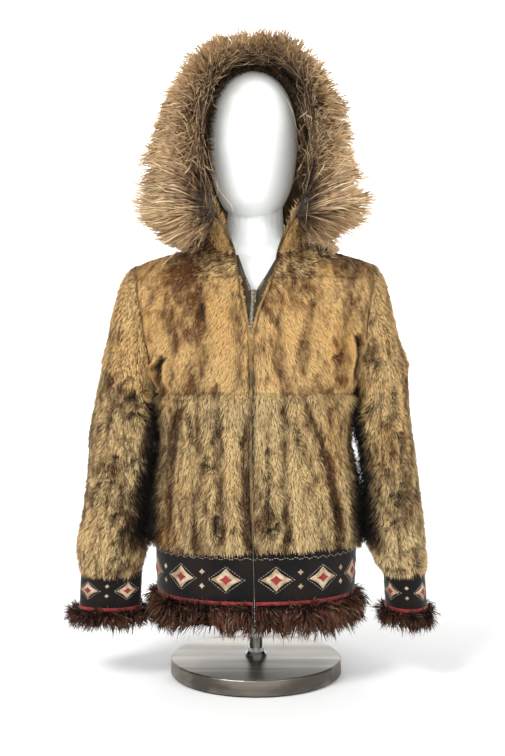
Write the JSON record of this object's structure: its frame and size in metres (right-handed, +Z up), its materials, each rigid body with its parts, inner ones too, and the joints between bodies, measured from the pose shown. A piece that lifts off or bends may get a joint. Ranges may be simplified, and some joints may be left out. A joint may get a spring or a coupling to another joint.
{
  "type": "fur parka on dress form",
  "caption": "Hooded, zip-fronted fur parka with a long-haired ruff and dark patterned bands at hem and cuffs, displayed on a white dress form with an egg-shaped head and a round steel stand.",
  "frame": {"origin": "middle of the underside of the round base, on the floor", "axes": "+Z up, the wearer faces -Y, and +X points to the wearer's left"},
  "size_m": [0.6076, 0.2898, 1.0656],
  "materials": {
    "fur_grey_tan": "dense short fur, grey-tan, brushed downwards",
    "fur_golden_tan": "dense short fur, golden tan with brown patches",
    "fur_brown": "dense short fur, darker brown",
    "fur_pale_edge": "short pale fur at the hood edge",
    "fur_dark": "short dark fur",
    "fur_ruff": "long taupe guard hair",
    "fur_trim": "shaggy dark reddish-brown hair",
    "band": "dark nap with a sewn pattern in cream and red",
    "piping": "red woven piping",
    "hide_edge": "raw pale hide edge",
    "zip_tape": "olive-brown woven tape",
    "zip_metal": "worn brass",
    "form_shell": "glossy white",
    "steel": "brushed",
    "foot_rubber": "matt"
  },
  "bodies": {
    "parka": {"front_lower_right": "fur_grey_tan", "front_chest_right": "fur_golden_tan", "front_lower_left": "fur_grey_tan", "front_chest_left": "fur_golden_tan", "back_lower": "fur_grey_tan", "back_upper": "fur_golden_tan", "yoke_right": "fur_brown", "yoke_left": "fur_brown", "sleeve_upper_right": "fur_golden_tan", "sleeve_lower_right": "fur_grey_tan", "sleeve_upper_left": "fur_golden_tan", "sleeve_lower_left": "fur_grey_tan", "cuff_band_right": "band", "cuff_piping_right": "piping", "cuff_trim_right": "fur_trim", "cuff_band_left": "band", "cuff_piping_left": "piping", "cuff_trim_left": "fur_trim", "hem_band_right": "band", "hem_piping_right": "piping", "hem_trim_right": "fur_trim", "hem_band_left": "band", "hem_piping_left": "piping", "hem_trim_left": "fur_trim", "hem_band_back": "band", "hem_piping_back": "piping", "hem_trim_back": "fur_trim", "hood_side_right": "fur_golden_tan", "hood_middle": "fur_golden_tan", "hood_side_left": "fur_golden_tan", "hood_edge_right": "fur_pale_edge", "hood_edge_left": "fur_pale_edge", "ruff": "fur_ruff", "hood_inner_fur": "fur_dark", "front_binding_right": "hide_edge", "zip_tape_right": "zip_tape", "front_binding_left": "hide_edge", "zip_tape_left": "zip_tape", "zip_chain": "zip_metal", "zip_slider": "zip_metal", "stand_foot_pad": "foot_rubber", "stand_base": "steel", "stand_pole": "steel", "stand_collar": "steel", "dress_form": "form_shell"},
    "zip_pull": {"zip_pull": "zip_metal"}
  },
  "joints": [
    {"name": "zip_pull_hinge", "type": "hinge", "parent": "parka", "child": "zip_pull", "pos_m": [-0.00431, -0.09953, 0.6377], "axis": [-1, 0, 0], "range_deg": [0, 140]}
  ]
}
